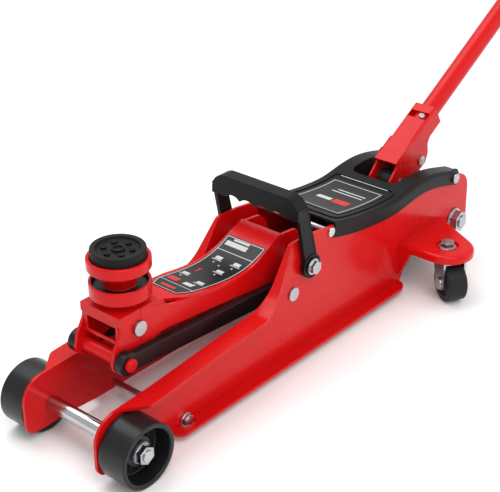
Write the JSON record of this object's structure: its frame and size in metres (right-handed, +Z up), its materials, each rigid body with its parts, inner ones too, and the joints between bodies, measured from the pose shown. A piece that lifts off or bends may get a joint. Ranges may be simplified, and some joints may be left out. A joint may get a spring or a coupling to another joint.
{
  "type": "car jack",
  "caption": "Low hydraulic trolley jack: lift arm on parallel links raises a saddle, pumped by a long removable handle, on wheels and casters",
  "frame": {"origin": "middle of the whole jack's footprint, on the floor", "axes": "+X towards the handle, +Y to the right hand of someone standing at the handle and facing the saddle, +Z up"},
  "size_m": [1.2904, 0.2826, 0.5613],
  "materials": {
    "paint_red": "gloss",
    "cup_paint": "gloss",
    "link_black": "satin",
    "cover_plastic": "satin",
    "handle_plastic": "satin",
    "wheel_nylon": "gloss",
    "caster_nylon": "satin",
    "zinc": "brushed",
    "chrome_rod": "polished",
    "steel": "machined",
    "unit_paint": "painted black",
    "pad_rubber": "matte",
    "grip_rubber": "matte",
    "arm_label": "printed film",
    "cover_label": "printed film"
  },
  "bodies": {
    "chassis": {"side_plate_left": "paint_red", "side_plate_right": "paint_red", "front_axle": "chrome_rod", "front_axle_spacers": "zinc", "front_axle_washers": "zinc", "front_axle_nuts": "zinc", "front_tie_rod": "chrome_rod", "front_tie_rod_nuts": "zinc", "cover_cross_rod": "chrome_rod", "cover": "cover_plastic", "cover_decal": "cover_label", "cover_rear_screws": "zinc", "cover_rear_nuts": "zinc", "caster_kingpins": "zinc", "caster_nuts": "zinc", "arm_pivot_shaft": "steel", "link_pivot_pins": "zinc", "power_unit_block": "unit_paint", "through_bolt": "zinc", "through_bolt_nuts": "zinc", "reservoir": "unit_paint", "ram_cylinder": "unit_paint", "ram_gland": "unit_paint", "filler_plug": "zinc", "carry_handle_bolts": "zinc", "pump_spring": "steel"},
    "wheel_front_left": {"front_wheel_left": "wheel_nylon"},
    "wheel_front_right": {"front_wheel_right": "wheel_nylon"},
    "swivel_left": {"caster_fork_left": "zinc", "caster_axle_left": "zinc"},
    "swivel_right": {"caster_fork_right": "zinc", "caster_axle_right": "zinc"},
    "roll_left": {"caster_wheel_left": "caster_nylon"},
    "roll_right": {"caster_wheel_right": "caster_nylon"},
    "arm": {"lift_arm": "paint_red", "arm_decal": "arm_label", "crank_pin": "steel"},
    "crank_roll": {"crank_roller": "steel"},
    "bracket": {"saddle_bracket": "paint_red", "upper_pin": "zinc", "lower_pin": "paint_red"},
    "bar_left": {"link_left": "link_black"},
    "bar_right": {"link_right": "link_black"},
    "saddle": {"saddle_cup": "cup_paint"},
    "saddle_top": {"saddle_extension": "paint_red", "saddle_pad": "pad_rubber"},
    "ram_slider": {"ram": "chrome_rod"},
    "pump_lever": {"handle_socket": "paint_red", "socket_pivot_pin": "zinc", "roller_pin": "zinc"},
    "pump_roll": {"pump_roller": "steel"},
    "plunger": {"pump_plunger": "chrome_rod"},
    "pole": {"lower_pole": "paint_red", "upper_pole": "paint_red", "pole_bolt": "zinc", "grip": "grip_rubber"},
    "valve": {"release_valve": "zinc"},
    "button": {"spring_button": "steel"},
    "bail": {"carry_handle": "handle_plastic"}
  },
  "joints": [
    {"name": "front_wheel_left_spin", "type": "hinge", "parent": "chassis", "child": "wheel_front_left", "pos_m": [-0.61024, -0.0728, 0.035], "axis": [0, 1, 0], "continuous": true},
    {"name": "front_wheel_right_spin", "type": "hinge", "parent": "chassis", "child": "wheel_front_right", "pos_m": [-0.61024, 0.0728, 0.035], "axis": [0, 1, 0], "continuous": true},
    {"name": "caster_left_swivel", "type": "hinge", "parent": "chassis", "child": "swivel_left", "pos_m": [-0.10924, -0.103, 0.054], "axis": [0, 0, 1], "continuous": true},
    {"name": "caster_right_swivel", "type": "hinge", "parent": "chassis", "child": "swivel_right", "pos_m": [-0.10924, 0.103, 0.054], "axis": [0, 0, 1], "continuous": true},
    {"name": "caster_left_roll", "type": "hinge", "parent": "swivel_left", "child": "roll_left", "pos_m": [-0.11772, -0.11657, 0.0235], "axis": [-0.848, 0.5299, 0], "continuous": true},
    {"name": "caster_right_roll", "type": "hinge", "parent": "swivel_right", "child": "roll_right", "pos_m": [-0.11772, 0.11657, 0.0235], "axis": [0.848, 0.5299, 0], "continuous": true},
    {"name": "lift", "type": "hinge", "parent": "chassis", "child": "arm", "pos_m": [-0.32224, 0, 0.112], "axis": [0, 1, 0], "range_deg": [-21.7, 54.2]},
    {"name": "crank_roller_spin", "type": "hinge", "parent": "arm", "child": "crank_roll", "pos_m": [-0.30964, 0, 0.0688], "axis": [0, 1, 0], "continuous": true},
    {"name": "bracket_level", "type": "hinge", "parent": "arm", "child": "bracket", "pos_m": [-0.55624, 0, 0.131], "axis": [0, 1, 0], "range_deg": [-54.2, 21.7]},
    {"name": "link_left_swing", "type": "hinge", "parent": "chassis", "child": "bar_left", "pos_m": [-0.34624, -0.033, 0.0845], "axis": [0, 1, 0], "range_deg": [-21.7, 54.2]},
    {"name": "link_right_swing", "type": "hinge", "parent": "chassis", "child": "bar_right", "pos_m": [-0.34624, 0.033, 0.0845], "axis": [0, 1, 0], "range_deg": [-21.7, 54.2]},
    {"name": "saddle_spin", "type": "hinge", "parent": "bracket", "child": "saddle", "pos_m": [-0.55124, 0, 0.155], "axis": [0, 0, 1], "continuous": true},
    {"name": "saddle_lift_off", "type": "slide", "parent": "saddle", "child": "saddle_top", "axis": [0, 0, 1], "range_m": [0, 0.05]},
    {"name": "ram_stroke", "type": "slide", "parent": "chassis", "child": "ram_slider", "axis": [-1, 0, 0], "range_m": [-0.01585, 0.0396]},
    {"name": "pump_swing", "type": "hinge", "parent": "chassis", "child": "pump_lever", "pos_m": [-0.08584, 0, 0.1146], "axis": [0, 1, 0], "range_deg": [0, 30], "stiffness_Nm_per_rad": 30, "springref_deg": -28.65},
    {"name": "pump_roller_spin", "type": "hinge", "parent": "pump_lever", "child": "pump_roll", "pos_m": [-0.04284, 0, 0.1297], "axis": [0, 1, 0], "continuous": true},
    {"name": "plunger_stroke", "type": "slide", "parent": "chassis", "child": "plunger", "axis": [0, 0, -1], "range_m": [0, 0.02352], "deforming": ["pump_spring"]},
    {"name": "pole_twist", "type": "hinge", "parent": "pump_lever", "child": "pole", "pos_m": [-0.00754, 0, 0.1793], "axis": [0.8682, 0, 0.4962], "range_deg": [-50, 15]},
    {"name": "valve_turn", "type": "hinge", "parent": "chassis", "child": "valve", "pos_m": [-0.11824, 0, 0.095], "axis": [0, 0, 1], "range_deg": [-50, 15]},
    {"name": "button_press", "type": "slide", "parent": "pole", "child": "button", "axis": [-0.4663, -0.342, 0.8158], "range_m": [-0.0035, 0], "stiffness_N_per_m": 600, "springref_m": 0.003},
    {"name": "bail_swing", "type": "hinge", "parent": "chassis", "child": "bail", "pos_m": [-0.32224, 0, 0.112], "axis": [0, 1, 0], "range_deg": [0, 60]}
  ],
  "couplings": [
    {"joint": "bracket_level", "follows": "lift", "ratio": -1},
    {"joint": "link_left_swing", "follows": "lift", "ratio": 1},
    {"joint": "link_right_swing", "follows": "lift", "ratio": 1},
    {"joint": "ram_stroke", "follows": "lift", "m_per_rad": 0.04183},
    {"joint": "plunger_stroke", "follows": "pump_swing", "m_per_rad": 0.0449},
    {"joint": "valve_turn", "follows": "pole_twist", "ratio": 1}
  ]
}
